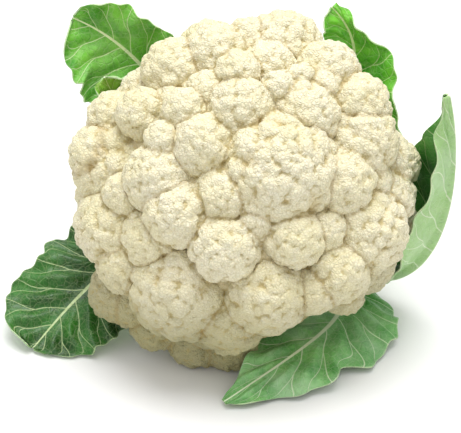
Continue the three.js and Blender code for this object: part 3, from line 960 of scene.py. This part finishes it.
def leaf_sheet(leaf, along, across):
    """Points, facing and marks of the upper face. Across runs from -1, the left margin, to 1."""
    sign = np.where(across < 0, -1.0, 1.0)
    out = np.abs(across)
    centre, forward = midrib(leaf, along)
    base, tip = [np.array(f, float) / np.linalg.norm(f) for f in leaf["face"]]
    up = base + (tip - base) * along[:, None]
    up = unit(up - (up * forward).sum(1, keepdims=True) * forward)
    side = np.cross(forward, up)
    rib = RIB_HALF * leaf.get("rib", 1.0) * (1 + (RIB_TIP - 1) * along ** RIB_TAPER)
    share = np.clip((along - leaf["start"]) / (1 - leaf["start"]), 0, 1)
    width = np.where(sign < 0, half_width(leaf["left"], share), half_width(leaf["right"], share))
    if "notch" in leaf:
        cut_side, at, depth, span = leaf["notch"]
        cut = 1 - depth * np.exp(-((along - at) / span) ** 2)
        width = np.where(sign == cut_side, width * cut, width)
    phase = FULL_TURN * leaf["shift"] + sign
    teeth = sum(size * np.sin(pace * along + turns * phase) for size, pace, turns in TEETH)
    width = rib + RIB_MARGIN + width * (1 + teeth)
    distance = out * width
    cup, curl = math.radians(leaf["cup"]), math.radians(leaf["curl"])
    lean = cup + curl * out
    flat = width * (np.sin(lean) - math.sin(cup)) / curl
    high = width * (math.cos(cup) - np.cos(lean)) / curl
    facing = -(sign * np.sin(lean))[:, None] * side + np.cos(lean)[:, None] * up
    number = VEINS * (along - VEIN_SWEEP * out * (1 - 0.25 * out)) + 0.25 * sign
    number = number + 0.12 * np.sin(17 * along + 3 * sign) + 0.05 * np.sin(7 * out + 23 * along)
    blade = smooth_step(distance / rib, 0.6, 1.6)
    wave = leaf["height"] * np.sin(2 * math.pi * (leaf["waves"] * along + leaf["shift"] + 0.25 * sign))
    ruffles = RUFFLES_PER_WAVE * leaf["waves"] * along + 0.3 * sign
    ruffle = RUFFLE * np.sin(2 * math.pi * ruffles + 4 * leaf["shift"])
    pillow = 0.5 - 0.5 * np.cos(2 * math.pi * number)
    quilt = leaf.get("quilt", QUILT) * pillow * smooth_step(out, 0.05, 0.4) * (1 - 0.6 * out)
    swell = (wave * out ** 2 + ruffle * out ** 4 + quilt) * blade
    points = centre + (sign * flat)[:, None] * side + high[:, None] * up + swell[:, None] * facing
    marks = dict(vein_number=number, reach=out, rib=distance / rib, along=along)
    return points, facing, distance, rib, marks


def vein_lines(number, reach):
    """1 on a side vein and 0 beside it."""
    fold = np.abs(number - np.round(number))
    fork = np.maximum(reach - FORK_START, 0) * FORK_SPREAD
    gap = np.abs(fold - fork) * VEIN_SPACING
    return 1 - smooth_step(gap, 0.3, 1.6)


print(int(VEINS), "side veins on each half of a leaf, about", VEIN_SPACING, "mm apart")

# %% [markdown]
# The upper face is green and waxy: darker on the old lower leaves, bright on those that the light comes
# through, yellow-green on the young one. It is painted darker towards its base and lighter towards its tip:
# painted shade near the head and painted sheen further out. The veins are pale, a fine net of smaller veins
# lies between them, pale glaucous patches lie over it, the waxy coat together with painted sheen, and the
# margin is a thin pale line. The under face is pale grey-green with the veins standing out. One function
# mixes them all from a few colours, because the pattern is the same.

# %% Leaf finish


def leaf_finish(name, deep, bright, vein, bloom_sheen_colour, bloom_sheen_share, gloss):
    """A leaf's face from four colours, the share of its glaucous patches with painted sheen and the lowest
    roughness.
    """
    material, spot, shader = new_finish(name)
    number = spot.attribute("vein_number")
    reach = spot.attribute("reach")
    rib = spot.attribute("rib")
    fork = (reach - FORK_START).most(0) * FORK_SPREAD
    gap = abs(abs(number - round(number)) - fork) * VEIN_SPACING
    half = 0.32 - 0.2 * reach
    side_veins = (gap / half).fade(1.6, 0.4)
    middle = rib.fade(0.36, 0.2)
    net = spot.cells(0.0045).fade(0.08, 0.02)
    small_net = spot.cells(0.0022).fade(0.12, 0.02)
    patches = spot.noise(0.018, 4, 0.6)
    fine = spot.noise(0.003, 3)
    # Painted shade towards the base, near the head, and painted sheen towards the tip, over the leaf's own
    # greens.
    towards_tip = 0.55 + 0.45 * spot.attribute("along").fade(0.5, 0.95)
    green = (patches.fade(0.32, 0.68) * towards_tip).tint(colour_of(deep), colour_of(bright))
    green = (fine.fade(0.4, 0.8) * 0.3).tint(green, colour_of(bright))
    green = (net * 0.1 + small_net * 0.08).tint(green, colour_of(vein))
    # Pale patches: the leaf's own waxy coat, together with painted sheen.
    green = (spot.noise(0.03, 4, 0.6).fade(0.45, 0.75) * bloom_sheen_share).tint(green, colour_of(bloom_sheen_colour))
    green = (side_veins * 0.68).tint(green, colour_of(vein))
    green = middle.tint(green, colour_of(vein))
    green = (reach.fade(0.975, 0.997) * 0.4).tint(green, colour_of(vein))
    feed(shader, Base_Color=green, Roughness=gloss + 0.2 * fine)
    relief = (1 - net) * 0.7 + fine * 0.3 - side_veins * 0.3
    feed(shader, Normal=bumped(relief, 0.0006, 0.6))
    let_light_in(shader, 0.08, (0.4, 1.0, 0.2), 0.002)
    return material


under_pale = leaf_finish("leaf_under_face", "97c278", "aed190", "e2ecce", "c2dab2", 0.5, 0.5)
FINISHES = {
    "leaf_upper_left": ("388c14", "74c038", "dbe8b6", "97c66c", 0.3, 0.38),
    "leaf_young_left": ("6aa422", "92c23c", "d6e6a0", "a6cc66", 0.3, 0.42),
    "leaf_upper_right": ("3c9a10", "78d034", "cfe6a8", "96d254", 0.3, 0.38),
    "leaf_right": ("2f7a22", "4b9838", "c3d9a4", "7fae76", 0.35, 0.42),
    "leaf_lower_right": ("3c8e32", "8acb76", "e4f0cf", "bcdcb2", 0.5, 0.34),
    "leaf_lower_left": ("0f4006", "2f741d", "c9dca2", "5c9350", 0.22, 0.3),
}
leaf_finishes = {
    name: [leaf_finish(name + "_upper_face", *colours), under_pale] for name, colours in FINISHES.items()
}
print(len(FINISHES), "leaf finishes")

# %% [markdown]
# A leaf starts as a flat grid, because rows and columns of a grid can follow the midrib. Its points are
# moved to the sheet. The leaf on the right leans on the head, so it is then moved off the florets that it
# would pass through. Solidify gives the thickness, with the under face in its own finish, and the midrib
# and the veins are drawn out below. Where the blade would go through the table it comes to rest on it.

# %% Growing the leaves
ROWS, COLUMNS = 150, 110
FLORET_CLEAR = 2.5
PRESS_ROUNDS = 4
PRESS_SMOOTHING = 8
TOO_DEEP = (8.0, 14.0)
PRESSED_FROM = (0.25, 0.45)
VEIN_GROOVE, VEIN_RIDGE = 0.25, 0.55
UPPER_REST, UNDER_REST = 1.3, 0.3
SOFT_REST = 3


def settle(heights, floor):
    """Heights that come to rest on a floor instead of passing through it."""
    above = heights - floor
    sagging = SOFT_REST * np.exp(np.minimum(above - SOFT_REST, 0) / SOFT_REST)
    return floor + np.where(above > SOFT_REST, above, sagging)


def clear_of_florets(points, free):
    """How far to move the points of a leaf so that it lies on the florets and doesn't pass through them."""
    centres = on_table(crowd_centres)
    rows = np.arange(len(points))
    shift = np.zeros_like(points)
    for _ in range(PRESS_ROUNDS):
        apart = (points + shift)[:, None] - centres[None]
        far = np.linalg.norm(apart, axis=2)
        deep = crowd_radii + FLORET_CLEAR - far
        worst = deep.argmax(1)
        push = np.maximum(deep[rows, worst], 0)
        push *= (1 - smooth_step(push, *TOO_DEEP)) * free
        shift += apart[rows, worst] * (push / far[rows, worst])[:, None]
        grid = shift.reshape(ROWS + 1, COLUMNS + 1, 3)
        for _ in range(PRESS_SMOOTHING):
            grid = np.pad(grid, ((1, 1), (1, 1), (0, 0)), mode="edge")
            grid = (grid[:-2, 1:-1] + grid[2:, 1:-1] + grid[1:-1, :-2] + grid[1:-1, 2:]) / 4
        shift = grid.reshape(-1, 3)
    return shift


def grow_leaf(name, leaf, finishes):
    """A closed leaf: a grid bent to the sheet, thickened, with ribs and veins standing out below."""
    bpy.ops.object.select_all(action="DESELECT")
    bpy.ops.mesh.primitive_grid_add(x_subdivisions=COLUMNS, y_subdivisions=ROWS, size=2)
    piece = bpy.context.object
    piece.name = name + "_blade"
    plan = points_of(piece)
    points, facing, distance, rib, marks = leaf_sheet(leaf, (plan[:, 1] + 1) / 2, plan[:, 0])
    if leaf.get("pressed"):
        points += clear_of_florets(points, smooth_step(marks["along"], *PRESSED_FROM))
    set_points(piece, points * MM)
    for key, values in marks.items():
        mark(piece, key, values)
    for finish in finishes:
        piece.data.materials.append(finish)
    apply_modifier(
        piece, "SOLIDIFY", thickness=BLADE * MM, offset=-1, material_offset=1, material_offset_rim=1,
    )
    count = len(plan)
    settled = points_of(piece) / MM
    lines = vein_lines(marks["vein_number"], marks["reach"])
    lines *= smooth_step(marks["rib"], 0.8, 1.4) * (1 - 0.7 * marks["reach"])
    depth = RIB_DEPTH * rib / RIB_HALF * np.maximum(0, 1 - (distance / rib) ** 2)
    settled[:count] -= facing * (VEIN_GROOVE * lines)[:, None]
    settled[count:2 * count] -= facing * (depth + VEIN_RIDGE * lines)[:, None]
    settled[:count, 2] = settle(settled[:count, 2], UPPER_REST)
    settled[count:2 * count, 2] = settle(settled[count:2 * count, 2], UNDER_REST)
    set_points(piece, settled * MM)
    bpy.ops.object.shade_smooth()
    print(piece.name, len(piece.data.vertices), "points for", 2 * count)
    return piece


leaf_pieces = {name: grow_leaf(name, leaf, leaf_finishes[name]) for name, leaf in LEAVES.items()}

# %% [markdown]
# Every piece now stands for its CAD node and rides on the plant's one body.

# %% Hand over to the frame
for part in curd_parts:
    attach(part, "root")
    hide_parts("curd")
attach(branches, "root")
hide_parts("curd")
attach(stem, "root")
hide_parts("stem")
for name, piece in leaf_pieces.items():
    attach(piece, "root")
    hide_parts(name)
    "young_leaf" if name == "leaf_young_left" else "leaf"

dressed_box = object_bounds()
{"cad": [list(c) for c in cad_box], "dressed": [list(c) for c in dressed_box]}
print("dressed box", [[round(v, 4) for v in c] for c in dressed_box])
